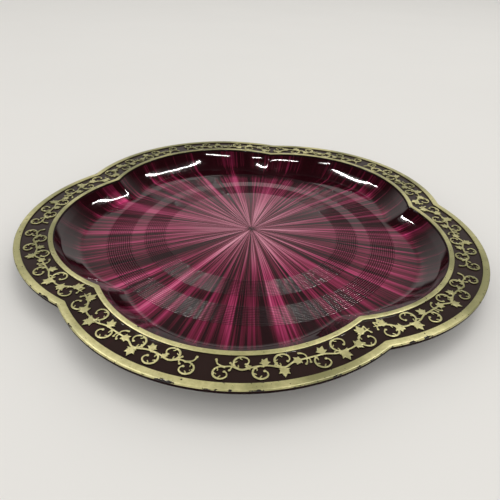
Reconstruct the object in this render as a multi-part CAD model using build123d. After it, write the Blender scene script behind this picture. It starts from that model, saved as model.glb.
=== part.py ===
from build123d import *
import os
from math import asin, cos, pi, radians, sin, tan
from typing import NamedTuple

# A five-lobed serving tray: one glossy plastic moulding whose flat rim carries raised, gilded relief.
# Millimetres, +Z up. The origin lies on the tray's upright axis, in the plane that the tray rests on,
# and one lobe points along -Y. Every rim outline is an arc about a lobe's own centre.

# ---- driving dimensions ----
LOBES = 5
LOBE_CENTRE = 50.8  # from the tray's axis to the centre that a lobe's arcs share
OUTER_ARC = 121.2  # lobe arc of the tray's outer edge
CHANNEL_OUTER_ARC = 116.7  # outer side of the channel that holds the scrolls
CHANNEL_INNER_ARC = 99.0
DISH_ARC = 95.3  # where the dish's wall starts, at the inner band's foot

HEIGHT = 18.0  # from the table to the top of the gilded relief
RELIEF = 1.0  # how far the bands and scrolls stand above the rim's ground
REBATE = 1.0  # the inner band is seated this much deeper, so it also covers the dish's edge
FLOOR_DEPTH = 14.9  # from the top of the relief down to the flat outer part of the dish's floor
FLOOR_DOME, DOME_RADIUS = 1.8, 93.0  # the floor's middle rises gently to this much above that
WALL = 2.4  # thickness of the moulding
EDGE_DRAFT = 0.45  # the rim's outer edge slopes in by this much from top to bottom
EDGE_ROUND = 0.8

CREASE_INSET, CREASE_DEPTH = 4.3, 7.1  # where the steep upper wall meets the cove
COVE_FOOT_INSET = 16.0  # where the cove's straight part would meet the floor
COVE_RADIUS = 9.5
RIM_KNEE_SHIFT = (1.6, -1.9)  # from the crease to the same bend on the underside
RIM_KNEE_RADIUS = 3.0
HEEL_SHIFT = 0.8  # the cove's foot lies this much further out on the underside
RIM_ROOT_SHIFT, RIM_ROOT_RADIUS = 1.6, 1.5  # where the wall meets the rim's underside

FOOT_RADIUS, FOOT_WIDTH = 106.5, 3.0  # ring that the tray rests on
FOOT_DRAFT = 0.4
GATE_RADIUS, GATE_HEIGHT = 2.5, 0.7  # moulding gate, clear of the table

RIB_PITCH, RIB_WIDTH, RIB_HEIGHT = 1.5, 1.3, 0.28
RIB_SHOULDER = 0.05  # the ribs' flanks start this far inside the floor
ROOTING = 0.4  # how far ribs, foot ring and gate reach into the floor that carries them
RIB_BANDS = ((68.2, 11), (94.3, 12))  # first rib's radius and number of ribs

OUTER_BAND_ROUND = 0.8
INNER_BAND_ROUND = 1.2
CHANNEL_EDGE_ROUND = 0.15  # on both bands, along the channel

# ---- the vine scrolls: s runs along the channel from the lobe's middle, t across it, outwards ----
STROKE = 1.1
SCROLL_TOP, SCROLL_BOTTOM = 7.1, -8.4  # the scrolls' furthest reach across the channel
SCROLL_GAP = 42.0  # degrees left open in each C-scroll
SCROLL_GAP_AT = 38.0  # direction of that opening, degrees off the channel
SCROLL_SWELL = 0.3  # how far the ring's bore is off its centre, so one side is thicker
BUD_RADIUS, BUD_INSET = 0.95, 1.2  # the bud that ends a C-scroll
BARB_RADIUS = 0.75
BARB_TURNS = (-55, 0, 55)  # degrees off the side opposite the opening
STEM = ((5.2, -5.4), (6.3, -2.6), (9.5, -1.3), (13.5, -1.4), (18.5, 0.6), (23.5, -0.9), (28.0, -1.6),
        (33.0, -1.2), (39.5, 0.9), (45.0, -1.4), (51.0, -2.0), (57.0, -1.9), (63.0, -1.4), (68.5, 0.9),
        (74.0, 1.4), (80.0, 1.6), (85.0, -0.6), (90.0, -2.8), (97.0, -2.6))


class Scroll(NamedTuple):
    s: float
    side: int  # +1 towards the outer band, -1 towards the inner band
    radius: float


class Leaf(NamedTuple):
    s: float
    t: float
    size: float
    heading: float  # degrees from the channel's direction towards the outer band


class Twig(NamedTuple):
    s: float
    t: float
    length: float
    heading: float


SCROLLS = (Scroll(8.2, 1, 4.2), Scroll(18.5, -1, 4.5), Scroll(27.5, 1, 4.3), Scroll(40.0, -1, 4.7),
           Scroll(59.5, 1, 4.5), Scroll(73.5, -1, 4.8), Scroll(89.0, 1, 5.0))
LEAVES = (Leaf(22.8, -0.6, 2.0, 200), Leaf(30.5, -2.9, 3.0, -60), Leaf(39.2, 2.4, 3.5, 100),
          Leaf(48.5, -1.9, 3.1, 175), Leaf(61.8, -3.0, 3.3, -50), Leaf(72.8, 3.0, 3.7, 95),
          Leaf(82.3, 1.2, 3.5, 20), Leaf(91.0, -4.1, 3.9, -75))
TWIGS = (Twig(13.3, -1.4, 2.0, 80), Twig(13.6, -1.4, 1.9, -80), Twig(52.0, -2.0, 3.0, 75),
         Twig(52.5, -2.0, 4.2, -70), Twig(94.8, -2.7, 2.2, 55), Twig(95.0, -2.7, 2.2, -55))
LEAF_TIPS = (1.0, 0.86, 0.72, 0.72, 0.86)  # length of each of a leaf's points, from the tip round
LEAF_NOTCH = 0.42

# ---- derived heights and places ----
GROUND = HEIGHT - RELIEF
BAND_SEAT = GROUND - REBATE
FLOOR_TOP = HEIGHT - FLOOR_DEPTH
FLOOR_BOTTOM = FLOOR_TOP - WALL
CREASE = (DISH_ARC - CREASE_INSET, HEIGHT - CREASE_DEPTH)
CHANNEL_MIDDLE = (CHANNEL_OUTER_ARC + CHANNEL_INNER_ARC) / 2
HALF_SECTOR = 180 / LOBES
FRONT = -90.0  # direction of the first lobe


# ---- five-lobed solids ----
def lobed(profile, radii):
    """Turn a profile of (arc radius, height) corners into the tray's five-lobed outline."""
    outline = FilletPolyline(*[(x, 0, z) for x, z in profile], radius=radii, close=True)
    lobe = Pos(LOBE_CENTRE, 0) * revolve(make_face(outline), Axis.Z)
    reach = 2 * OUTER_ARC
    half_width = reach * tan(radians(HALF_SECTOR))
    sector = extrude(Polygon((0, 0), (reach, -half_width), (reach, half_width), align=None), 2 * HEIGHT)
    piece = lobe & sector
    return Part() + [Rot(0, 0, FRONT + i * 360 / LOBES) * piece for i in range(LOBES)]


def ring(profile):
    """A ring about the tray's axis, from its (radius, height) corners."""
    outline = Polyline(*[(x, 0, z) for x, z in profile], close=True)
    return revolve(make_face(outline), Axis.Z)


# ---- the moulding ----
def shell():
    profile = (
        ((0, FLOOR_TOP), 0),
        ((DISH_ARC - COVE_FOOT_INSET, FLOOR_TOP), COVE_RADIUS),
        (CREASE, 0),
        ((DISH_ARC, BAND_SEAT), 0),
        ((CHANNEL_INNER_ARC, BAND_SEAT), 0),
        ((CHANNEL_INNER_ARC, GROUND), 0),
        ((OUTER_ARC, GROUND), 0),
        ((OUTER_ARC - EDGE_DRAFT, GROUND - WALL), EDGE_ROUND),
        ((DISH_ARC + RIM_ROOT_SHIFT, GROUND - WALL), RIM_ROOT_RADIUS),
        ((CREASE[0] + RIM_KNEE_SHIFT[0], CREASE[1] + RIM_KNEE_SHIFT[1]), RIM_KNEE_RADIUS),
        ((DISH_ARC - COVE_FOOT_INSET + HEEL_SHIFT, FLOOR_BOTTOM), COVE_RADIUS),
        ((0, FLOOR_BOTTOM), 0),
    )
    return lobed([corner for corner, _ in profile], [radius for _, radius in profile])


def dome_rise(radius):
    """How far the floor's dome stands above the flat outer floor, at a distance from the tray's axis."""
    return FLOOR_DOME * max(0.0, 1 - (radius / DOME_RADIUS) ** 2)


def dome(foot):
    """A shallow round cap on the tray's axis, with a skirt below the height of its foot."""
    bend = (DOME_RADIUS ** 2 + FLOOR_DOME ** 2) / (2 * FLOOR_DOME)
    halfway = asin(DOME_RADIUS / bend) / 2
    top = (0, 0, foot + FLOOR_DOME)
    middle = (bend * sin(halfway), 0, top[2] - bend * (1 - cos(halfway)))
    edge = (DOME_RADIUS, 0, foot)
    skirt = Polyline(top, (0, 0, foot - ROOTING), (DOME_RADIUS, 0, foot - ROOTING), edge)
    return revolve(make_face([skirt, ThreePointArc(edge, middle, top)]), Axis.Z)


def rib(radius):
    """One fine three-sided rib on the dish's floor."""
    floor = FLOOR_TOP + dome_rise(radius)
    root = floor - ROOTING
    shoulder = floor - RIB_SHOULDER
    half = RIB_WIDTH / 2
    return ring([(radius - half, root), (radius + half, root), (radius + half, shoulder),
                 (radius, floor + RIB_HEIGHT), (radius - half, shoulder)])


def foot_ring():
    inner, outer = FOOT_RADIUS - FOOT_WIDTH / 2, FOOT_RADIUS + FOOT_WIDTH / 2
    root = FLOOR_BOTTOM + ROOTING
    return ring([(inner, 0), (outer, 0), (outer + FOOT_DRAFT, root), (inner - FOOT_DRAFT, root)])


def gate():
    height = GATE_HEIGHT + ROOTING
    foot = FLOOR_BOTTOM + FLOOR_DOME - GATE_HEIGHT
    return Pos(0, 0, foot + height / 2) * Cylinder(GATE_RADIUS, height)


def tray_body():
    ribs = [rib(first + i * RIB_PITCH) for first, count in RIB_BANDS for i in range(count)]
    domed = shell() + dome(FLOOR_TOP) - dome(FLOOR_BOTTOM)
    return domed + [foot_ring(), gate()] + ribs


# ---- gilded bands ----
def outer_gilt_band():
    profile = [(CHANNEL_OUTER_ARC, GROUND), (OUTER_ARC, GROUND), (OUTER_ARC, HEIGHT),
               (CHANNEL_OUTER_ARC, HEIGHT)]
    return lobed(profile, [0, 0, OUTER_BAND_ROUND, CHANNEL_EDGE_ROUND])


def inner_gilt_band():
    profile = [(DISH_ARC, BAND_SEAT), (CHANNEL_INNER_ARC, BAND_SEAT), (CHANNEL_INNER_ARC, HEIGHT),
               (DISH_ARC, HEIGHT)]
    return lobed(profile, [0, 0, CHANNEL_EDGE_ROUND, INNER_BAND_ROUND])


# ---- vine scrolls, drawn in the lobe's own frame with the lobe pointing along +X ----
def channel_place(s, t, heading=0.0):
    """The place on the rim of channel point (s, t), turned so that local +X runs along heading."""
    turn = s / CHANNEL_MIDDLE
    reach = CHANNEL_MIDDLE + t
    x = LOBE_CENTRE + reach * cos(turn)
    y = reach * sin(turn)
    return Pos(x, y) * Rot(0, 0, turn * 180 / pi + 90 - heading)


def stem():
    points = [channel_place(s, t).position for s, t in STEM]
    return trace(Spline(*points), STROKE)


def c_scroll(scroll):
    """A C-scroll: a ring that is thickest opposite its opening and ends in a round bud."""
    inside = scroll.radius - STROKE
    crescent = Circle(scroll.radius) - Pos(SCROLL_SWELL, 0) * Circle(inside)
    opening_half_width = 2 * scroll.radius * tan(radians(SCROLL_GAP / 2))
    opening = Polygon((0, 0), (2 * scroll.radius, -opening_half_width),
                      (2 * scroll.radius, opening_half_width), align=None)
    bud_angle = -scroll.side * (SCROLL_GAP / 2 + 6)
    bud = Rot(0, 0, bud_angle) * Pos(scroll.radius - BUD_INSET, 0) * Circle(BUD_RADIUS)
    barbs = [Rot(0, 0, turn) * Pos(-inside, 0) * Circle(BARB_RADIUS) for turn in BARB_TURNS]
    across = SCROLL_TOP - scroll.radius if scroll.side > 0 else SCROLL_BOTTOM + scroll.radius
    place = channel_place(scroll.s, across, -scroll.side * SCROLL_GAP_AT)
    return place * (crescent - opening + [bud, *barbs])


def leaf(shape):
    """A five-pointed vine leaf that points along its heading."""
    corners = []
    count = len(LEAF_TIPS)
    for i, tip in enumerate(LEAF_TIPS):
        for reach, turn in ((tip, i), (LEAF_NOTCH, i + 0.5)):
            angle = 2 * pi * turn / count
            corners.append((shape.size * reach * cos(angle), shape.size * reach * sin(angle)))
    return channel_place(shape.s, shape.t, shape.heading) * Polygon(*corners, align=None)


def twig(shape):
    stalk = Pos(shape.length / 2, 0) * Rectangle(shape.length, STROKE * 0.7)
    return channel_place(shape.s, shape.t, shape.heading) * (stalk + Pos(shape.length, 0) * Circle(0.7))


def sprig():
    """One vine sprig, from the lobe's middle to its end, standing on the rim's ground."""
    shapes = [c_scroll(scroll) for scroll in SCROLLS]
    shapes += [leaf(shape) for shape in LEAVES]
    shapes += [twig(shape) for shape in TWIGS]
    return Pos(0, 0, GROUND) * extrude(stem() + shapes, RELIEF)


def five_times(piece):
    """Five separate copies of a piece, one in each lobe."""
    turns = [FRONT + i * 360 / LOBES for i in range(LOBES)]
    return Compound([Rot(0, 0, turn) * piece.solid() for turn in turns])


def main():
    os.makedirs("parts", exist_ok=True)
    one_sprig = sprig()
    pieces = {
        "tray_body": tray_body(),
        "outer_gilt_band": outer_gilt_band(),
        "inner_gilt_band": inner_gilt_band(),
        "scroll_sprigs_right": five_times(one_sprig),
        "scroll_sprigs_left": five_times(mirror(one_sprig, Plane.XZ)),
    }
    for name, piece in pieces.items():
        export_step(piece, f"parts/{name}.step")


main()
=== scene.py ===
from math import atan2, cos, hypot, pi, radians, sin, tan
from typing import NamedTuple

import bpy
import numpy as np
from mathutils import Matrix, Vector


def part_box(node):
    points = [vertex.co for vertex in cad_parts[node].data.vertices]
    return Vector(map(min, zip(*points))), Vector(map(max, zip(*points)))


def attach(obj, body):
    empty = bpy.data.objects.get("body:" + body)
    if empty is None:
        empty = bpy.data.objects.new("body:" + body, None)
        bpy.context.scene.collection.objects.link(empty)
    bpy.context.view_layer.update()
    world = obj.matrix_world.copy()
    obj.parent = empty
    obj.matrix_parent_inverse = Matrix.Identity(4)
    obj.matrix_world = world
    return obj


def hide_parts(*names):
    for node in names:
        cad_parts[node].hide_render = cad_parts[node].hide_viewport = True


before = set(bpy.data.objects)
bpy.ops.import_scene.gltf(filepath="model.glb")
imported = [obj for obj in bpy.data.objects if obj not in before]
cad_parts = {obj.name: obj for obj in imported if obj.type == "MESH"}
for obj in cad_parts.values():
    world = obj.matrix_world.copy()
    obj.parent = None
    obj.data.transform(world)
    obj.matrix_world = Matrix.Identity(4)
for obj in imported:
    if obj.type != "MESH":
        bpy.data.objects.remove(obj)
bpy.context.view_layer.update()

MM = 0.001
BODY = "root"

# ---- sizes in millimetres: the rim's heights and outline come from the frame ----
LOBES = 5
HALF_SECTOR = pi / LOBES
FRONT = -pi / 2  # the first lobe points along -Y


def node_heights(node):
    low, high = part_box(node)
    return low[2] / MM, high[2] / MM


GROUND, TOP = node_heights("outer_gilt_band")
BAND_SEAT = node_heights("inner_gilt_band")[0]
OUTER_LOW, OUTER_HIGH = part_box("outer_gilt_band")
LOBE_CENTRE = (-OUTER_LOW[1] - OUTER_HIGH[1]) / (1 - cos(HALF_SECTOR)) / MM
OUTER_ARC = -OUTER_LOW[1] / MM - LOBE_CENTRE
CHANNEL_OUTER_ARC = OUTER_ARC - 4.5
CHANNEL_INNER_ARC = OUTER_ARC - 22.2
DISH_ARC = CHANNEL_INNER_ARC - 3.7
CHANNEL_MIDDLE = (CHANNEL_OUTER_ARC + CHANNEL_INNER_ARC) / 2
TIP_RADIUS = LOBE_CENTRE + OUTER_ARC

WALL = 2.4
FLOOR_TOP = TOP - 14.9
FLOOR_BOTTOM = FLOOR_TOP - WALL
FLOOR_DOME, DOME_RADIUS = 1.8, 93.0  # the dome's height and where it ends
RIM_UNDERSIDE = GROUND - WALL
EDGE_DRAFT = 0.45  # scales the insets of the rim's edge profile
UNDERSIDE_ARCS = (118.0, 112.0, 105.0)  # rings on the rim's underside
CREASE_ARC, CREASE_HEIGHT = DISH_ARC - 4.3, TOP - 7.1
COVE_FOOT_ARC, COVE_RADIUS = DISH_ARC - 16.0, 7.0
COVE_HOLLOW, WALL_HOLLOW = 0.17, 0.1  # how far the lower and upper walls bow outwards
RIB_PITCH, RIB_WIDTH, RIB_HEIGHT = 1.5, 1.3, 0.28
RIB_SECTION = ((-0.5, 0), (-0.38, 0.36), (-0.2, 0.82), (0, 1), (0.2, 0.82), (0.38, 0.36), (0.5, 0))
RIB_BANDS = ((68.2, 11), (94.3, 12))  # the first rib's radius and the number of ribs
GROOVE_FROM, GROOVE_TO = 0.35, 0.51  # off a rib's middle, in rib widths
FOOT_RADIUS, FOOT_WIDTH, FOOT_DRAFT = 106.5, 3.0, 0.4
GATE_RADIUS, GATE_HEIGHT = 2.5, 0.7


# ---- rings: the tray's surfaces are rings of points joined by quads ----
class Ring(NamedTuple):
    radius: float  # about the tray's axis, or the lobe's arc radius when lobed
    z: float
    lobed: bool = True


def lobe_angles(per_lobe=78, crowding=0.25):
    """Directions off a lobe's axis, from one notch to the next, crowded towards the notches."""
    u = np.linspace(-1, 1, per_lobe, endpoint=False)
    return HALF_SECTOR * ((1 - crowding) * np.sin(u * pi / 2) + crowding * u)


def notch_rounding(z):
    """How far, as an angle at the tray's axis, a notch is rounded: the ridge softens down the wall."""
    return radians(0.22 + 1.3 * np.clip((GROUND - z) / (GROUND - FLOOR_TOP), 0, 1))


def lobed_reach(angle, arc, rounding):
    """Distance from the tray's axis to a lobe's arc, in the direction angle off the lobe's axis."""
    from_notch = np.sqrt((HALF_SECTOR - np.abs(angle)) ** 2 + rounding ** 2)
    angle = HALF_SECTOR - from_notch
    return LOBE_CENTRE * np.cos(angle) + np.sqrt(arc ** 2 - (LOBE_CENTRE * np.sin(angle)) ** 2)


def ring_points(ring, angles):
    if ring.lobed:
        reach = lobed_reach(angles, ring.radius, notch_rounding(ring.z))
    else:
        reach = np.full_like(angles, ring.radius)
    turns = FRONT + np.arange(LOBES) * 2 * HALF_SECTOR
    around = (turns[:, None] + angles[None, :]).ravel()
    reach = np.tile(reach, LOBES)
    return np.stack([reach * np.cos(around), reach * np.sin(around), np.full_like(reach, ring.z)], -1)


def grid_quads(rows, columns, closed_rows=False):
    """Outward quads between neighbouring rows of a grid whose columns run all the way round."""
    last = rows if closed_rows else rows - 1
    row = np.arange(last)[:, None]
    column = np.arange(columns)[None, :]
    after = (column + 1) % columns
    next_row = (row + 1) % rows
    return np.stack([next_row * columns + column, next_row * columns + after,
                     row * columns + after, row * columns + column], -1).reshape(-1, 4).tolist()


def new_object(name, points_mm, faces, material, sharp_degrees=32):
    mesh = bpy.data.meshes.new(name)
    mesh.from_pydata((points_mm * MM).tolist(), [], faces)
    mesh.validate()
    mesh.update()
    mesh.shade_smooth()
    mesh.set_sharp_from_angle(angle=radians(sharp_degrees))
    piece = bpy.data.objects.new(name, mesh)
    bpy.context.scene.collection.objects.link(piece)
    mesh.materials.append(material)
    return piece


def give_values(piece, name, values):
    """Store one number per mesh point, for the piece's material to read."""
    piece.data.attributes.new(name, "FLOAT", "POINT").data.foreach_set("value", values)


def sharpen_rings(piece, columns, chosen):
    """Make the edges that run along the chosen rings of a piece sharp."""
    mesh = piece.data
    ends = np.empty(2 * len(mesh.edges), int)
    mesh.edges.foreach_get("vertices", ends)
    first, second = (ends.reshape(-1, 2) // columns).T
    chosen = np.append(chosen, False)  # for the points after the last ring
    sharp = np.empty(len(mesh.edges), bool)
    attribute = mesh.attributes["sharp_edge"].data
    attribute.foreach_get("value", sharp)
    attribute.foreach_set("value", sharp | ((first == second) & chosen[first]))


def stand_for(piece, node):
    """Put a piece on the tray's one body, in place of its CAD node."""
    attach(piece, BODY)
    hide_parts(node)


# ---- the moulding ----
def dome_rise(radius):
    """How far the floor's dome stands above the flat outer floor, at a distance from the tray's axis."""
    return FLOOR_DOME * max(0.0, 1 - (radius / DOME_RADIUS) ** 2)


def floor_ring(radius, height=0.0):
    """A round ring at a height above the dish's floor."""
    return Ring(radius, FLOOR_TOP + dome_rise(radius) + height, False)


def rib_band(first, count):
    """A band of fine concentric ribs with rounded crests, between two rings of plain floor."""
    margin = RIB_WIDTH / 2 + 0.12
    last = first + (count - 1) * RIB_PITCH
    rings = [floor_ring(first - margin)]
    for i in range(count):
        middle = first + i * RIB_PITCH
        rings += [floor_ring(middle + x * RIB_WIDTH, z * RIB_HEIGHT) for x, z in RIB_SECTION]
    return [*rings, floor_ring(last + margin)]


def is_in_groove(ring):
    """Whether a ring is a rib's foot, or low on its flank."""
    if ring.lobed or ring.z < FLOOR_TOP:
        return False
    for first, count in RIB_BANDS:
        off_first = ring.radius - first
        off_rib = off_first - RIB_PITCH * np.clip(round(off_first / RIB_PITCH), 0, count - 1)
        if GROOVE_FROM < abs(off_rib) / RIB_WIDTH < GROOVE_TO:
            return True
    return False


def ring_zones(ring):
    """Where a ring lies, as the numbers that the moulding's material reads."""
    above_floor = ring.z - floor_ring(ring.radius).z
    return {"on_rim": ring.lobed and ring.radius > DISH_ARC + 1,
            "on_wall": ring.lobed * np.clip((ring.z - FLOOR_TOP - 0.5) / 3, 0, 1),
            "on_edge": ring.lobed and ring.radius > CHANNEL_OUTER_ARC and ring.z < GROUND,
            "on_rib": not ring.lobed and above_floor > 0.01,
            "in_groove": is_in_groove(ring)}


def cove_rings(steps=8):
    """The arc that leads from the floor into the wall."""
    slope = atan2(CREASE_HEIGHT - FLOOR_TOP, CREASE_ARC - COVE_FOOT_ARC)
    start = COVE_FOOT_ARC - COVE_RADIUS * tan(slope / 2)
    turns = [slope * i / steps for i in range(steps + 1)]
    return [Ring(start + COVE_RADIUS * sin(a), FLOOR_TOP + COVE_RADIUS * (1 - cos(a))) for a in turns]


def along(start, end, fractions, hollow=0.0):
    """Lobed rings on the line between two (arc, z) points, hollowed at its middle away from the dish."""
    run, rise = end[0] - start[0], end[1] - start[1]
    length = hypot(run, rise)
    rings = []
    for f in fractions:
        sag = 4 * f * (1 - f) * hollow / length
        rings.append(Ring(start[0] + f * run + sag * rise, start[1] + f * rise - sag * run))
    return rings


def dish_rings():
    """The dish from its middle to its lip: floor, ribs, cove, lower wall and upper wall."""
    crease = (CREASE_ARC, CREASE_HEIGHT)
    cove_top = (COVE_FOOT_ARC, FLOOR_TOP)
    lip = (DISH_ARC, BAND_SEAT)
    inner_ribs, outer_ribs = (rib_band(*band) for band in RIB_BANDS)
    rings = [floor_ring(radius) for radius in (1, 3, 7, 14, 25, 40, 55, 66)] + inner_ribs
    rings += [floor_ring(radius) for radius in (86.2, 89.2)] + outer_ribs + cove_rings()
    rings += along(cove_top, crease, (0.42, 0.52, 0.64, 0.76, 0.88, 0.97), COVE_HOLLOW)
    rings += along(crease, lip, (0.04, 0.15, 0.3, 0.45, 0.6, 0.75, 0.9, 1), WALL_HOLLOW)
    return rings


def rim_rings():
    """The rim's flat top, with a small fillet against the inner band."""
    fillet = ((0.02, 0.22), (0.25, 0.1), (0.5, 0.03))
    flat = (CHANNEL_INNER_ARC + 0.8, CHANNEL_MIDDLE - 4, CHANNEL_MIDDLE, CHANNEL_MIDDLE + 4,
            CHANNEL_OUTER_ARC - 0.6, CHANNEL_OUTER_ARC, OUTER_ARC - 0.25)
    rings = [Ring(CHANNEL_INNER_ARC, BAND_SEAT)]
    rings += [Ring(CHANNEL_INNER_ARC + off, GROUND + height) for off, height in fillet]
    return rings + [Ring(arc, GROUND) for arc in flat]


def edge_rings():
    """The rim's outer edge, which slopes and rounds in towards the underside, and the rim's underside."""
    edge = ((0, 0.15), (0.04, 0.5), (0.16, 0.9), (0.36, 1.35), (0.66, 1.8), (1.05, 2.15), (1.5, 2.35),
            (2.0, WALL))
    rings = [Ring(OUTER_ARC - EDGE_DRAFT * inset, GROUND - drop) for inset, drop in edge]
    return rings + [Ring(arc, RIM_UNDERSIDE) for arc in (*UNDERSIDE_ARCS, DISH_ARC + 2.6)]


def underside_rings():
    """The dish's outside, down to the foot ring, and the domed underside with the moulding's gate."""
    knee = (CREASE_ARC + 1.6, CREASE_HEIGHT - 1.9)
    rim = (DISH_ARC + 1.6, RIM_UNDERSIDE)
    heel = (COVE_FOOT_ARC + 0.8, FLOOR_BOTTOM)
    inner, outer = FOOT_RADIUS - FOOT_WIDTH / 2, FOOT_RADIUS + FOOT_WIDTH / 2
    rings = along(rim, knee, (0.12, 0.4, 0.8)) + along(knee, heel, (0.05, 0.3, 0.55, 0.72))
    rings += [Ring(heel[0] - 1.2, FLOOR_BOTTOM + 0.25), Ring(heel[0] - 3.1, FLOOR_BOTTOM)]
    foot = ((outer + FOOT_DRAFT + 0.5, FLOOR_BOTTOM), (outer + FOOT_DRAFT, FLOOR_BOTTOM - 0.2),
            (outer + 0.05, 0.25), (outer - 0.25, 0), (inner + 0.25, 0), (inner - 0.05, 0.25),
            (inner - FOOT_DRAFT, FLOOR_BOTTOM - 0.2), (inner - FOOT_DRAFT - 0.5, FLOOR_BOTTOM))
    dome = [(radius, FLOOR_BOTTOM) for radius in (DOME_RADIUS, 75, 60, 45, 30, 15)]
    gate_end = FLOOR_BOTTOM - GATE_HEIGHT
    gate = ((GATE_RADIUS + 0.3, FLOOR_BOTTOM), (GATE_RADIUS, FLOOR_BOTTOM - 0.15),
            (GATE_RADIUS - 0.1, gate_end + 0.12), (GATE_RADIUS - 0.4, gate_end), (0.8, gate_end))
    return rings + [Ring(radius, z + dome_rise(radius), False) for radius, z in (*foot, *dome, *gate)]


def build_tray(material):
    rings = dish_rings() + rim_rings() + edge_rings() + underside_rings()
    angles = lobe_angles()
    points = np.concatenate([ring_points(ring, angles) for ring in rings])
    columns = LOBES * len(angles)
    faces = grid_quads(len(rings), columns)
    top, bottom = len(points), len(points) + 1
    points = np.vstack([points, [0, 0, rings[0].z], [0, 0, rings[-1].z]])
    last = (len(rings) - 1) * columns
    for i in range(columns):
        after = (i + 1) % columns
        faces.append([top, after, i])
        faces.append([bottom, last + i, last + after])
    piece = new_object("marbled_tray", points, faces, material)
    rib_feet = [is_in_groove(ring) and ring == floor_ring(ring.radius) for ring in rings]
    sharpen_rings(piece, columns, rib_feet)
    zones = [ring_zones(ring) for ring in rings]
    for name in zones[0]:
        values = np.array([zone[name] for zone in zones], float)
        give_values(piece, name, [*np.repeat(values, columns), 0.0, 0.0])
    stand_for(piece, "tray_body")


# ---- gilded bands ----
def build_band(name, node, profile, material):
    """A lobed band from its closed cross-section, anticlockwise: (arc radius, z, foil cover, wear)."""
    rings = [Ring(arc, z) for arc, z, _, _ in profile]
    angles = lobe_angles()
    points = np.concatenate([ring_points(ring, angles) for ring in rings])
    columns = LOBES * len(angles)
    faces = grid_quads(len(rings), columns, closed_rows=True)
    piece = new_object(name, points, faces, material)
    give_values(piece, "foil", np.repeat([cover for _, _, cover, _ in profile], columns))
    give_values(piece, "wear", np.repeat([wear for _, _, _, wear in profile], columns))
    stand_for(piece, node)


def build_bands(material):
    channel, edge = CHANNEL_OUTER_ARC, OUTER_ARC
    outer = [(channel, GROUND, 0, 0), (edge, GROUND, 0, 1), (edge, GROUND + 0.1, 0, 1),
             (edge, GROUND + 0.18, 0.8, 1), (edge - 0.02, TOP - 0.55, 1, 1),
             (edge - 0.08, TOP - 0.36, 1, 1), (edge - 0.2, TOP - 0.2, 1, 1),
             (edge - 0.38, TOP - 0.08, 1, 0.8), (edge - 0.6, TOP - 0.02, 1, 0.7),
             (edge - 0.9, TOP, 1, 0.5), (edge - 2.0, TOP, 1, 0), (channel + 0.3, TOP, 1, 0),
             (channel + 0.1, TOP - 0.05, 1, 0), (channel + 0.02, TOP - 0.18, 1, 0),
             (channel, TOP - 0.3, 0.3, 0), (channel, TOP - 0.45, 0, 0)]
    build_band("outer_band", "outer_gilt_band", outer, material)
    channel, edge = CHANNEL_INNER_ARC, DISH_ARC
    inner = [(edge, BAND_SEAT, 0, 0.5), (channel, BAND_SEAT, 0, 0), (channel, GROUND + 0.25, 0, 0),
             (channel, TOP - 0.45, 0, 0), (channel, TOP - 0.3, 0.3, 0),
             (channel - 0.02, TOP - 0.18, 1, 0), (channel - 0.1, TOP - 0.05, 1, 0),
             (channel - 0.3, TOP, 1, 0), (edge + 1.7, TOP, 1, 0), (edge + 1.2, TOP - 0.04, 1, 0.2),
             (edge + 0.75, TOP - 0.15, 1, 0.3), (edge + 0.4, TOP - 0.34, 0.3, 0.5),
             (edge + 0.2, TOP - 0.55, 0, 0.6), (edge + 0.03, TOP - 1.1, 0, 0.5),
             (edge, TOP - 1.5, 0, 0.5)]
    build_band("inner_band", "inner_gilt_band", inner, material)


# ---- vine scrolls: s runs along the channel from the lobe's middle, t across it, outwards ----
class Scroll(NamedTuple):
    s: float
    side: int  # +1 towards the outer band, -1 towards the inner band
    radius: float


class Leaf(NamedTuple):
    s: float
    t: float
    size: float
    heading: float  # degrees from the channel's direction towards the outer band


class Twig(NamedTuple):
    s: float
    t: float
    length: float
    heading: float
    curl: float  # degrees, from its root to its tip


class Barb(NamedTuple):
    at: float  # degrees off its C-scroll's opening
    length: float
    lean: float  # degrees at its tip


SCROLL_TOP, SCROLL_BOTTOM = 7.2, -8.5  # how far scrolls reach across the channel
SCROLL_GAP_AT = 38.0  # degrees that a scroll's opening turns from the channel's direction
SCROLL_START, SCROLL_SWEEP = 24, 322  # degrees: its start off the opening, and how far it turns
CURL_FROM, CURL_DEPTH = 0.82, 1.7  # where along a scroll it curls in, and how far
STEM = ((5.2, -5.4), (6.3, -2.6), (9.5, -1.3), (13.5, -1.4), (18.5, 0.6), (23.5, -0.9), (28.0, -1.6),
        (33.0, -1.2), (39.5, 0.9), (45.0, -1.4), (51.0, -2.0), (57.0, -1.9), (63.0, -1.4), (68.5, 0.9),
        (74.0, 1.4), (80.0, 1.6), (85.0, -0.6), (90.0, -2.8), (97.0, -2.6))
SCROLLS = (Scroll(8.2, 1, 4.3), Scroll(18.5, -1, 4.6), Scroll(27.5, 1, 4.5), Scroll(40.0, -1, 4.8),
           Scroll(59.5, 1, 4.7), Scroll(73.5, -1, 5.0), Scroll(89.0, 1, 5.1))
LEAVES = (Leaf(22.4, -0.9, 2.4, 200), Leaf(30.2, -3.2, 3.5, -60), Leaf(39.2, 2.6, 4.1, 100),
          Leaf(48.2, -1.9, 3.7, 175), Leaf(61.8, -3.4, 3.9, -50), Leaf(72.6, 3.0, 4.4, 95),
          Leaf(82.3, 1.4, 4.2, 20), Leaf(91.4, -3.9, 4.5, -75))
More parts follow.
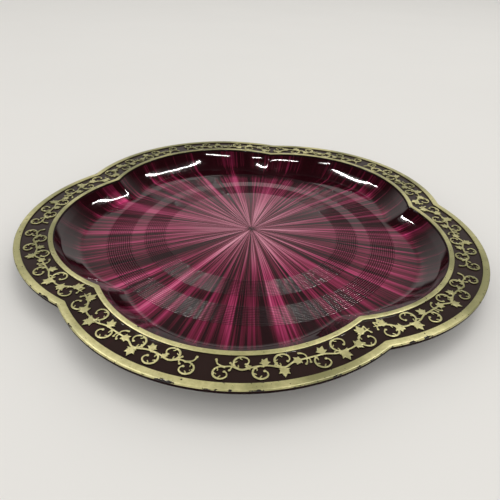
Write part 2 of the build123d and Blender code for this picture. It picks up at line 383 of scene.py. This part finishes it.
# A leaf's lobes and the teeth between them: direction in degrees, length and half width in leaf sizes.
LEAF_LOBES = ((0, 1.15, 0.30), (52, 0.98, 0.24), (-47, 0.92, 0.26), (104, 0.74, 0.22), (-112, 0.80, 0.20),
              (26, 0.80, 0.13), (-22, 0.76, 0.14), (77, 0.68, 0.13), (-78, 0.72, 0.12))
TWIGS = (Twig(13.3, -1.4, 2.6, 80, 30), Twig(13.6, -1.4, 2.4, -80, -30), Twig(52.0, -2.0, 3.6, 60, 50),
         Twig(52.5, -2.0, 5.0, -50, -70), Twig(53.8, -2.0, 3.0, 85, 10), Twig(94.8, -2.7, 2.8, 55, 20),
         Twig(95.0, -2.7, 2.8, -55, -20), Twig(67.6, 0.5, 2.6, -60, 30), Twig(35.0, -0.8, 2.2, -70, 20))
BARBS = (Barb(84, 1.5, 15), Barb(150, 1.3, 14.3), Barb(222, 1.6, 16))
SPRIG_S, SPRIG_T = (3.6, 98.6), (-8.8, 8.2)  # the part of the channel that a sprig fills
FOIL_DEPTH, FOIL_FADE = 0.42, 0.15  # how far down from the relief's top the foil reaches


def channel_to_rim(s, t):
    """Rim position, in the frame of a lobe that points along +X, of channel point (s, t)."""
    turn = s / CHANNEL_MIDDLE
    reach = CHANNEL_MIDDLE + t
    return np.stack([LOBE_CENTRE + reach * np.cos(turn), reach * np.sin(turn)], -1)


def local_frame(s, t, heading):
    """(origin, forward, left) on the rim of a shape placed at (s, t) and turned to its heading."""
    turn = s / CHANNEL_MIDDLE
    along_channel = np.array([-sin(turn), cos(turn)])
    outwards = np.array([cos(turn), sin(turn)])
    a = radians(heading)
    forward = cos(a) * along_channel + sin(a) * outwards
    left = -sin(a) * along_channel + cos(a) * outwards
    return channel_to_rim(np.float64(s), np.float64(t)), forward, left


def polar(reach, angle):
    return np.stack([reach * np.cos(angle), reach * np.sin(angle)], -1)


def place(points, placement):
    """Points on the rim from points in a local frame."""
    origin, forward, left = placement
    points = np.asarray(points, float)
    return origin + points[:, :1] * forward + points[:, 1:] * left


def smooth_line(points, steps=8):
    """Catmull-Rom curve through the points."""
    p = np.asarray(points, float)
    p = np.vstack([2 * p[0] - p[1], p, 2 * p[-1] - p[-2]])
    u = np.linspace(0, 1, steps, endpoint=False)[:, None]
    spans = []
    for a, b, c, d in zip(p, p[1:], p[2:], p[3:]):
        spans.append(b + 0.5 * u * (c - a + u * (2 * a - 5 * b + 4 * c - d + u * (3 * (b - c) + d - a))))
    return np.vstack([*spans, p[-2:-1]])


def stem_stroke():
    """The stem. A stroke is a line of points on the rim and its half width at each."""
    line = smooth_line(STEM)
    width = np.interp(np.linspace(0, 1, len(line)), (0, 0.03, 0.5, 0.96, 1), (0.8, 0.5, 0.6, 0.55, 0.35))
    return channel_to_rim(line[:, 0], line[:, 1]), width


def scroll_strokes(scroll):
    """A C-scroll, thick on its far side, that curls inwards to a round bud, with barbs inside it."""
    across = SCROLL_TOP - scroll.radius if scroll.side > 0 else SCROLL_BOTTOM + scroll.radius
    placement = local_frame(scroll.s, across, -scroll.side * SCROLL_GAP_AT)
    u = np.linspace(0, 1, 40)
    turn = scroll.side * np.radians(-SCROLL_START - SCROLL_SWEEP * u)
    width = 0.42 + 0.22 * np.sin(pi * np.clip(u * 1.02, 0, 1)) ** 1.4
    curl = np.clip((u - CURL_FROM) / (1 - CURL_FROM), 0, 1)
    line = polar(scroll.radius - width - CURL_DEPTH * curl ** 1.5, turn)
    strokes = [(place(line, placement), width)]
    bud = line[-1:] * 0.98
    strokes.append((place(np.vstack([bud, bud * 0.9]), placement), np.array([0.8, 0.7])))
    for barb in BARBS:
        root_angle = -scroll.side * radians(barb.at)
        tip_angle = -scroll.side * radians(barb.at + barb.lean)
        root = scroll.radius - 0.8
        line = [polar(root, root_angle), polar(root - 0.6 * barb.length, root_angle),
                polar(root - barb.length, tip_angle)]
        strokes.append((place(line, placement), np.array([0.62, 0.34, 0.36])))
    return strokes


def leaf_strokes(leaf):
    """A vine leaf: five pointed lobes with small teeth between them, that spread from its heart."""
    placement = local_frame(leaf.s, leaf.t, leaf.heading)
    strokes = []
    for heading, length, half_width in LEAF_LOBES:
        line = polar(np.array([0, 0.3, 0.62, 1.0]) * length * leaf.size, radians(heading))
        taper = np.array([1.3, 1.15, 0.75, 0.06])
        strokes.append((place(line, placement), taper * half_width * leaf.size))
    return strokes


def twig_stroke(twig):
    """A twig that curls and ends in a small bud."""
    u = np.linspace(0, 1, 8)
    line = polar(twig.length * u, np.radians(twig.curl) * u)
    width = np.interp(u, (0, 0.7, 1), (0.45, 0.4, 0.74))
    return place(line, local_frame(twig.s, twig.t, twig.heading)), width


def sprig_strokes():
    strokes = [stem_stroke()]
    for scroll in SCROLLS:
        strokes += scroll_strokes(scroll)
    for leaf in LEAVES:
        strokes += leaf_strokes(leaf)
    return strokes + [twig_stroke(twig) for twig in TWIGS]


def stroke_distance(points, stroke):
    """Distance from points to a stroke's edge: negative inside it."""
    line, width = stroke
    nearest = np.full(points.shape[:-1], np.inf)
    for a, b, wide_a, wide_b in zip(line, line[1:], width, width[1:]):
        span = b - a
        offset = points - a
        u = np.clip(offset @ span / (span @ span), 0, 1)
        gap = np.hypot(offset[..., 0] - u * span[0], offset[..., 1] - u * span[1])
        nearest = np.minimum(nearest, gap - wide_a - u * (wide_b - wide_a))
    return nearest


def blend_union(a, b, softness=0.22):
    """Smooth union of two distance fields, so that strokes flow into each other."""
    mix = np.clip(0.5 + 0.5 * (b - a) / softness, 0, 1)
    return b * (1 - mix) + a * mix - softness * mix * (1 - mix)


def sprig_field(step=0.22):
    """Grid points over half a lobe's channel, with each one's distance to the sprig's edge."""
    s = np.arange(*SPRIG_S, step)
    t = np.arange(*SPRIG_T, step)
    points = channel_to_rim(*np.meshgrid(s, t, indexing="ij"))
    far_away = 9.0
    field = np.full(points.shape[:-1], far_away)
    for stroke in sprig_strokes():
        reach = stroke[1].max() + 1.0
        low, high = stroke[0].min(0) - reach, stroke[0].max(0) + reach
        near = np.all((points > low) & (points < high), axis=-1)
        field[near] = blend_union(stroke_distance(points[near], stroke), field[near])
    return points, field


def relief_height(depth, shoulder=0.42, side=0.5):
    """Height of a sprig's domed top, a distance depth inside its edge."""
    u = np.clip(depth / shoulder, 0, 1)
    rise = np.sqrt(1 - (1 - u) ** 2)
    return GROUND + (TOP - GROUND) * (side + (1 - side) * rise)


def march(points, field, least_share=0.03):
    """The region where field is negative: its points, their depths, polygons and edge segments."""
    places, depths, index = [], [], {}

    def corner(i, j):
        key = (i, j)
        if key not in index:
            index[key] = len(places)
            places.append(points[i, j])
            depths.append(-field[i, j])
        return index[key]

    def crossing(i, j, k, m):
        key = (min((i, j), (k, m)), max((i, j), (k, m)))
        if key not in index:
            u = np.clip(field[i, j] / (field[i, j] - field[k, m]), least_share, 1 - least_share)
            index[key] = len(places)
            places.append(points[i, j] * (1 - u) + points[k, m] * u)
            depths.append(0.0)
        return index[key]

    inside = field < 0
    count = inside[:-1, :-1].astype(int) + inside[1:, :-1] + inside[1:, 1:] + inside[:-1, 1:]
    polygons, segments = [], []
    for i, j in zip(*np.nonzero(count)):
        around = ((i, j), (i + 1, j), (i + 1, j + 1), (i, j + 1))
        polygon, ends = [], []
        for here, there in zip(around, around[1:] + around[:1]):
            if inside[here]:
                polygon.append(corner(*here))
            if inside[here] != inside[there]:
                polygon.append(crossing(*here, *there))
                ends.append((polygon[-1], bool(inside[here])))
        polygons.append(polygon)
        for k, (vertex, leaving) in enumerate(ends):
            if leaving:
                segments.append((vertex, ends[(k + 1) % len(ends)][0]))
    return np.array(places), np.array(depths), polygons, segments


def sprig_mesh():
    """One sprig as a closed solid: its domed top, its upright side and its flat foot."""
    places, depths, polygons, segments = march(*sprig_field())
    top = np.column_stack([places, relief_height(depths)])
    foot = np.column_stack([places, np.full(len(places), GROUND)])
    n = len(places)
    faces = list(polygons)
    faces += [[n + v for v in reversed(polygon)] for polygon in polygons]
    faces += [[b, a, n + a, n + b] for a, b in segments]
    return np.vstack([top, foot]), faces


def build_sprigs(material):
    """A sprig on each side of every lobe's middle."""
    points, faces = sprig_mesh()
    for name, node, side in (("vine_sprigs_right", "scroll_sprigs_right", 1),
                             ("vine_sprigs_left", "scroll_sprigs_left", -1)):
        all_points, all_faces = [], []
        for i in range(LOBES):
            turn = FRONT + i * 2 * HALF_SECTOR
            x, y = points[:, 0], side * points[:, 1]
            turned = [x * cos(turn) - y * sin(turn), x * sin(turn) + y * cos(turn), points[:, 2]]
            first = i * len(points)
            all_points.append(np.column_stack(turned))
            all_faces += [[first + v for v in face[::side]] for face in faces]
        all_points = np.vstack(all_points)
        piece = new_object(name, all_points, all_faces, material, sharp_degrees=50)
        give_values(piece, "foil", np.clip((all_points[:, 2] - TOP + FOIL_DEPTH) / FOIL_FADE, 0, 1))
        give_values(piece, "wear", np.full(len(all_points), 0.1))
        stand_for(piece, node)


# ---- node materials ----
class Nodes:
    """Short ways to add and link shader nodes."""

    def __init__(self, tree):
        self.tree = tree
        tree.nodes.clear()

    def add(self, kind, inputs=None, **settings):
        node = self.tree.nodes.new(kind)
        for name, value in settings.items():
            setattr(node, name, value)
        for name, value in (inputs or {}).items():
            self.put(value, node.inputs[name])
        return node

    def put(self, value, socket):
        if isinstance(value, bpy.types.NodeSocket):
            self.tree.links.new(value, socket)
        else:
            socket.default_value = value

    def math(self, operation, *values, clamp=False):
        node = self.add("ShaderNodeMath", operation=operation, use_clamp=clamp)
        for i, value in enumerate(values):
            self.put(value, node.inputs[i])
        return node.outputs[0]

    def plus(self, a, b):
        return self.math("ADD", a, b)

    def minus(self, a, b):
        return self.math("SUBTRACT", a, b)

    def times(self, a, b):
        return self.math("MULTIPLY", a, b)

    def vector(self, operation, *values):
        node = self.add("ShaderNodeVectorMath", operation=operation)
        for i, value in enumerate(values):
            self.put(value, node.inputs[i])
        return node.outputs["Value" if operation in ("LENGTH", "DOT_PRODUCT") else "Vector"]

    def noise(self, vector, scale, detail=2.0, roughness=0.5):
        inputs = {"Vector": vector, "Scale": scale, "Detail": detail, "Roughness": roughness}
        return self.add("ShaderNodeTexNoise", inputs).outputs["Fac"]

    def rise(self, value, low, high, to_low=0.0, to_high=1.0):
        """A smooth step from to_low, where value is low, to to_high, where it is high."""
        inputs = {"Value": value, "From Min": low, "From Max": high, "To Min": to_low, "To Max": to_high}
        return self.add("ShaderNodeMapRange", inputs, interpolation_type="SMOOTHSTEP").outputs[0]

    def mix(self, factor, a, b):
        node = self.add("ShaderNodeMix", data_type="RGBA")
        for name, value in (("Factor_Float", factor), ("A_Color", a), ("B_Color", b)):
            self.put(value, next(s for s in node.inputs if s.identifier == name))
        return next(s for s in node.outputs if s.identifier == "Result_Color")

    def ramp(self, value, stops):
        node = self.add("ShaderNodeValToRGB", {"Fac": value})
        elements = node.color_ramp.elements
        for i, (position, colour) in enumerate(stops):
            element = elements[i] if i < 2 else elements.new(position)
            element.position = position
            element.color = colour
        return node.outputs["Color"]


def rgb(red, green, blue):
    return (red, green, blue, 1.0)


def new_material(name):
    material = bpy.data.materials.new(name)
    material.use_nodes = True
    return material, Nodes(material.node_tree)


def finish_material(nodes, shader):
    output = nodes.add("ShaderNodeOutputMaterial")
    nodes.tree.links.new(shader.outputs["BSDF"], output.inputs["Surface"])


def stored(nodes, name):
    """A number that was stored on the mesh's points."""
    return nodes.add("ShaderNodeAttribute", attribute_name=name).outputs["Fac"]


def radial_coordinates(nodes):
    """(position, unit direction from the tray's axis, distance from the axis), in metres."""
    position = nodes.add("ShaderNodeTexCoord").outputs["Object"]
    flat = nodes.vector("MULTIPLY", position, (1, 1, 0))
    return position, nodes.vector("NORMALIZE", flat), nodes.vector("LENGTH", flat)


class Ray(NamedTuple):
    """A broad range of directions off the tray's axis, strongest along its middle."""
    azimuth: float  # degrees from +X
    half_width: float  # degrees
    strength: float


class StreakLayer(NamedTuple):
    """One noise of the marbling, read on a circle round the tray's axis."""
    frequency: float  # the circle's radius in the noise
    share: float  # how much it adds to the marbling
    drift: float  # how fast it changes along a ray, per metre
    detail: float
    fades: bool  # towards the rim


# The marbling's broad rays, the painted shade on the far side's floor and the gilding's ranges of painted
# shade.
RAYS = (Ray(8, 9, 0.6), Ray(27, 5, 0.9), Ray(40, 2.5, 0.5), Ray(86, 4, 0.6), Ray(108, 7, 0.8),
        Ray(124, 3, 0.5), Ray(169, 5, 0.4), Ray(181, 3, 0.4), Ray(193, 2.5, 0.35), Ray(216, 4, 0.6),
        Ray(231, 3, 0.6), Ray(244, 5, 1.0), Ray(251, 3, 1.0), Ray(263, 2, 0.8), Ray(272, 1.5, 0.7),
        Ray(280, 1.6, 0.9), Ray(289, 4, 1.0), Ray(307, 3.5, 0.9), Ray(318, 2, 0.6), Ray(332, 5, 1.0),
        Ray(345, 2, 0.6))
FAR_SHADE = (Ray(92, 48, 0.13),)
GILDING_PAINTED_SHADE = (Ray(0, 26, 0.45), Ray(45, 26, 0.4), Ray(92, 18, 0.5), Ray(122, 20, 0.9),
                Ray(150, 14, 0.6), Ray(210, 18, 0.65), Ray(238, 10, 0.3), Ray(332, 14, 0.35))
STREAK_LAYERS = (StreakLayer(5.0, 0.20, 7.0, 1.0, False), StreakLayer(13.0, 0.26, 8.0, 2.0, False),
                 StreakLayer(32.0, 0.44, 9.0, 2.0, True), StreakLayer(80.0, 0.50, 12.0, 2.0, True))
# The marbling's colours, from its darkest level to its palest.
MARBLING = ((0.0, rgb(0.008, 0.001, 0.002)), (0.43, rgb(0.017, 0.002, 0.004)),
            (0.485, rgb(0.075, 0.006, 0.017)), (0.55, rgb(0.20, 0.013, 0.052)),
            (0.64, rgb(0.50, 0.05, 0.165)), (0.76, rgb(0.74, 0.22, 0.36)), (0.86, rgb(0.92, 0.60, 0.68)))
PAINTED_SHEEN_PINK = rgb(0.84, 0.42, 0.52)
CHANNEL_BROWN = rgb(0.062, 0.052, 0.043)
EDGE_BLACK = rgb(0.006, 0.005, 0.004)
WALL_PAINTED_SHADE = rgb(0.013, 0.0005, 0.002)
GROOVE_PAINTED_SHADE = rgb(0.012, 0.003, 0.005)
GOLD, DEEP_GOLD, TARNISH_AND_SHADE = rgb(0.70, 0.645, 0.315), rgb(0.54, 0.495, 0.215), rgb(0.25, 0.24, 0.095)
BARE_PLASTIC = rgb(0.010, 0.005, 0.005)
TABLE_SHADES = rgb(0.79, 0.78, 0.765), rgb(0.82, 0.81, 0.795)


def broad_rays(nodes, direction, rays):
    """The rays' strengths, added up, in a direction off the tray's axis."""
    total = 0.0
    for ray in rays:
        azimuth = radians(ray.azimuth)
        facing = nodes.vector("DOT_PRODUCT", direction, (cos(azimuth), sin(azimuth), 0))
        bump = nodes.rise(facing, cos(radians(ray.half_width)), 1.0, 0.0, ray.strength)
        total = nodes.plus(total, bump)
    return total


def streak_pattern(nodes, direction, distance):
    """The marbling's level, about 0 to 1. Noise on a circle has the same value all along a ray."""
    total = 0.5
    fading = nodes.rise(distance, 0.06, 0.14, 1.0, 0.65)
    for layer in STREAK_LAYERS:
        outwards = nodes.times(distance, layer.drift)
        along_ray = nodes.add("ShaderNodeCombineXYZ", {"Z": outwards}).outputs[0]
        on_circle = nodes.vector("MULTIPLY", direction, (layer.frequency,) * 3)
        vector = nodes.vector("ADD", on_circle, along_ray)
        streaks = nodes.minus(nodes.noise(vector, 1.0, layer.detail), 0.5)
        streaks = nodes.times(streaks, layer.share)
        if layer.fades:
            streaks = nodes.times(streaks, fading)
        total = nodes.plus(total, streaks)
    return nodes.plus(total, nodes.times(broad_rays(nodes, direction, RAYS), 0.07))


def marbling_level(nodes, direction, distance, on_rim, on_wall):
    """The streaks, lighter near the tray's middle and darker at its hub, far out, on the wall and rim."""
    level = streak_pattern(nodes, direction, distance)
    hub = nodes.rise(distance, 0.006, 0.0, 0.0, 0.12)
    near = nodes.rise(distance, 0.09, 0.02, 0.0, 0.022)
    far = nodes.rise(distance, 0.105, 0.145, 0.0, 0.06)
    shade = nodes.times(broad_rays(nodes, direction, FAR_SHADE), nodes.rise(distance, 0.100, 0.113))
    shade = nodes.times(shade, nodes.minus(1.0, on_wall))
    rim = nodes.times(on_rim, 0.05)
    # Painted shade: the marbling is also a little darker on the wall.
    wall = nodes.times(on_wall, 0.03)
    level = nodes.plus(level, near)
    for darker in (hub, far, shade, rim, wall):
        level = nodes.minus(level, darker)
    return level


def marbled_plastic():
    """Near-black plastic with crimson and magenta rays, under a mirror gloss."""
    material, nodes = new_material("marbled_plastic")
    position, direction, distance = radial_coordinates(nodes)
    on_rim, on_wall, on_edge, on_rib, in_groove = (
        stored(nodes, name) for name in ("on_rim", "on_wall", "on_edge", "on_rib", "in_groove"))
    level = marbling_level(nodes, direction, distance, on_rim, on_wall)
    colour = nodes.ramp(level, MARBLING)
    # Painted sheen: near the tray's middle the brighter streaks are lightened towards pale pink, standing
    # in for a reflection.
    pale = nodes.times(nodes.rise(distance, 0.07, 0.012, 0.0, 0.75), nodes.rise(level, 0.50, 0.68))
    colour = nodes.mix(pale, colour, PAINTED_SHEEN_PINK)
    colour = nodes.mix(nodes.times(on_rim, 0.8), colour, CHANNEL_BROWN)
    colour = nodes.mix(on_edge, colour, EDGE_BLACK)
    # Painted shade: the dish's steep wall is darkened towards near-black crimson.
    colour = nodes.mix(nodes.times(on_wall, 0.6), colour, WALL_PAINTED_SHADE)
    # Painted shade: the ribs' grooves are darkened towards near-black, standing in for the dark that the
    # rib flanks mirror.
    colour = nodes.mix(nodes.times(in_groove, 0.7), colour, GROOVE_PAINTED_SHADE)
    pearl = nodes.times(nodes.rise(level, 0.48, 0.62), 0.5)
    grain = nodes.noise(position, 900.0, 3.0)
    coat_roughness = nodes.plus(nodes.rise(grain, 0.3, 0.7, 0.03, 0.06), nodes.times(on_rib, 0.15))
    coat = 1.0
    for zone, loss in ((on_rim, 0.5), (on_edge, 0.4), (in_groove, 0.9)):
        coat = nodes.minus(coat, nodes.times(zone, loss))
    waviness = nodes.noise(position, 22.0, 1.0)
    height = nodes.plus(nodes.times(grain, 0.02), waviness)
    bump = nodes.add("ShaderNodeBump", {"Strength": 0.12, "Distance": 0.002, "Height": height})
    shader = nodes.add("ShaderNodeBsdfPrincipled", {
        "Base Color": colour, "Metallic": pearl, "Roughness": 0.42, "Specular IOR Level": 0.0,
        "Coat Weight": coat, "Coat Roughness": coat_roughness, "Coat IOR": 1.5,
        "Normal": bump.outputs["Normal"], "Coat Normal": bump.outputs["Normal"]})
    finish_material(nodes, shader)
    return material


def gilding():
    """Pale worn gold foil on the relief's tops, over dark plastic on its sides and in chips."""
    material, nodes = new_material("gilding")
    position, direction, _ = radial_coordinates(nodes)
    tarnish_and_shade = nodes.rise(nodes.noise(position, 16.0, 6.0, 0.6), 0.42, 0.70)
    # Painted shade: in the listed directions the gold is darkened towards a dull olive, on top of its own
    # tarnishing from the noise above.
    tarnish_and_shade = nodes.math("ADD", tarnish_and_shade, broad_rays(nodes, direction, GILDING_PAINTED_SHADE), clamp=True)
    mottle = nodes.noise(position, 420.0, 4.0, 0.65)
    gold = nodes.mix(nodes.rise(mottle, 0.3, 0.75), GOLD, DEEP_GOLD)
    gold = nodes.mix(tarnish_and_shade, gold, TARNISH_AND_SHADE)
    specks = nodes.rise(nodes.noise(position, 620.0, 2.0), 0.69, 0.73)
    rubbed = nodes.plus(nodes.noise(position, 130.0, 5.0, 0.7), nodes.times(stored(nodes, "wear"), 0.165))
    chips = nodes.rise(rubbed, 0.715, 0.735)
    covered = nodes.rise(stored(nodes, "foil"), 0.35, 0.65)
    for bare in (specks, chips):
        covered = nodes.times(covered, nodes.minus(1.0, bare))
    colour = nodes.mix(covered, BARE_PLASTIC, gold)
    height = nodes.plus(nodes.times(mottle, 0.4), covered)
    bump = nodes.add("ShaderNodeBump", {"Strength": 0.35, "Distance": 0.0003, "Height": height})
    shader = nodes.add("ShaderNodeBsdfPrincipled", {
        "Base Color": colour, "Metallic": nodes.times(covered, 0.22),
        "Roughness": nodes.plus(nodes.times(covered, 0.17), 0.12),
        "Normal": bump.outputs["Normal"]})
    finish_material(nodes, shader)
    return material


# ---- stage ----
def pale_table():
    """The plain pale floor of the stage, with faint broad mottling."""
    material, nodes = new_material("pale_table")
    position = nodes.add("ShaderNodeTexCoord").outputs["Object"]
    colour = nodes.mix(nodes.noise(position, 3.0, 3.0), *TABLE_SHADES)
    shader = nodes.add("ShaderNodeBsdfPrincipled", {"Base Color": colour, "Roughness": 0.6,
                                                    "Specular IOR Level": 0.2})
    finish_material(nodes, shader)
    mesh = bpy.data.meshes.new("table")
    reach = 8.0
    corners = [(-reach, -reach, 0), (reach, -reach, 0), (reach, reach, 0), (-reach, reach, 0)]
    mesh.from_pydata(corners, [], [(0, 1, 2, 3)])
    mesh.materials.append(material)
    table = bpy.data.objects.new("table", mesh)
    bpy.context.scene.collection.objects.link(table)


def room():
    """Bright room light, brightest from behind the camera. In reflections it's a grey wall ahead."""
    world = bpy.data.worlds.new("room")
    world.use_nodes = True
    bpy.context.scene.world = world
    nodes = Nodes(world.node_tree)
    direction = nodes.add("ShaderNodeTexCoord").outputs["Generated"]
    ahead = nodes.vector("DOT_PRODUCT", direction, (-sin(CAMERA_TURN), cos(CAMERA_TURN), 0.0))
    height = nodes.add("ShaderNodeSeparateXYZ", {"Vector": direction}).outputs["Z"]
    wall = nodes.times(nodes.rise(ahead, 0.5, 0.82), nodes.rise(height, 0.08, 0.15))
    wall = nodes.times(wall, nodes.rise(height, 0.82, 0.36))
    mirrored = nodes.plus(0.03, nodes.times(wall, 0.62))
    fill = nodes.times(nodes.rise(ahead, -0.3, -0.8), nodes.rise(height, 0.65, 0.35))
    ambient = nodes.plus(0.8, nodes.times(fill, 0.5))
    in_gloss = nodes.add("ShaderNodeLightPath").outputs["Is Glossy Ray"]
    seen = nodes.times(in_gloss, mirrored)
    unseen = nodes.times(nodes.minus(1.0, in_gloss), ambient)
    level = nodes.plus(seen, unseen)
    background = nodes.add("ShaderNodeBackground", {"Color": rgb(1.0, 0.985, 0.95), "Strength": level})
    output = nodes.add("ShaderNodeOutputWorld")
    nodes.tree.links.new(background.outputs[0], output.inputs[0])


class Tube(NamedTuple):
    """A ceiling light tube: its ends' offsets from the tray, as the camera faces, per unit of height."""
    start: tuple
    end: tuple
    glow: float  # watts per square metre and steradian


TUBE_HEIGHT, TUBE_WIDTH = 3.0, 0.015  # metres
TUBES = (Tube((0.20, 0.07), (0.62, 0.72), 600.0), Tube((-0.30, 0.10), (-0.65, 0.77), 600.0),
         Tube((-0.58, -0.41), (-0.40, -0.43), 300.0), Tube((-0.05, -0.48), (0.33, -0.52), 300.0))
SOFTBOX_PLACE = Vector((0.5, 0.7, 3.0))  # metres, as the camera faces
SOFTBOX_SIZE, SOFTBOX_POWER = (1.6, 1.6), 16.0


def area_light(name, place_m, across, size, power):
    """A rectangular light that shines straight down, with its first side along across."""
    data = bpy.data.lights.new(name, "AREA")
    data.shape = "RECTANGLE"
    data.size, data.size_y = size
    data.energy = power
    data.color = (1.0, 0.985, 0.96)
    light = bpy.data.objects.new(name, data)
    right = Vector(across).normalized()
    up = Vector((0, 0, 1))
    facing_down = Matrix((right, up.cross(right), up)).transposed().to_4x4()
    light.matrix_world = Matrix.Translation(place_m) @ facing_down
    bpy.context.scene.collection.objects.link(light)
    return light


def lights():
    """Four ceiling tubes that only show as reflections, and a soft overhead light that isn't mirrored."""
    turn = Matrix.Rotation(CAMERA_TURN, 3, "Z")
    for i, tube in enumerate(TUBES):
        start = turn @ Vector((*tube.start, 1)) * TUBE_HEIGHT
        end = turn @ Vector((*tube.end, 1)) * TUBE_HEIGHT
        span = end - start
        size = (span.length, TUBE_WIDTH)
        power = tube.glow * pi * size[0] * size[1]
        lamp = area_light(f"tube_{i + 1}", (start + end) / 2, span, size, power)
        lamp.visible_diffuse = False
    softbox = area_light("overhead_softbox", turn @ SOFTBOX_PLACE, (1, 0, 0), SOFTBOX_SIZE, SOFTBOX_POWER)
    softbox.visible_glossy = False


# ---- camera ----
CAMERA_TURN = radians(7.65)  # round the tray from the first lobe's axis
CAMERA_ELEVATION = radians(32.963)
CAMERA_ROLL = radians(1.831)
CAMERA_DISTANCE = 1.801  # in tip radii, from the point it aims at on the rim's plane
AIM = (-0.00275, -0.2985)  # in tip radii, before the turn
LENS_MM, SENSOR_MM = 32.42, 36.0


def camera():
    """The view over the front lobe, from a little to its right."""
    data = bpy.data.cameras.new("camera")
    data.lens, data.sensor_width = LENS_MM, SENSOR_MM
    data.clip_start = 0.01
    eye = bpy.data.objects.new("camera", data)
    bpy.context.scene.collection.objects.link(eye)
    backwards = Vector((0, -cos(CAMERA_ELEVATION), sin(CAMERA_ELEVATION)))
    right = Vector((1, 0, 0))
    up = backwards.cross(right)
    aim = Vector((*AIM, 0)) * TIP_RADIUS * MM
    place_m = aim + backwards * CAMERA_DISTANCE * TIP_RADIUS * MM
    turn = Matrix.Rotation(CAMERA_TURN, 4, "Z")
    facing = Matrix((right, up, backwards)).transposed().to_4x4()
    level = Matrix.Translation((0, 0, TOP * MM)) @ turn @ Matrix.Translation(place_m) @ facing
    eye.matrix_world = level @ Matrix.Rotation(CAMERA_ROLL, 4, "Z")
    bpy.context.scene.camera = eye


def main():
    gold = gilding()
    build_tray(marbled_plastic())
    build_bands(gold)
    build_sprigs(gold)
    pale_table()
    room()
    lights()
    camera()
    bpy.context.scene.view_settings.view_transform = "Standard"


main()
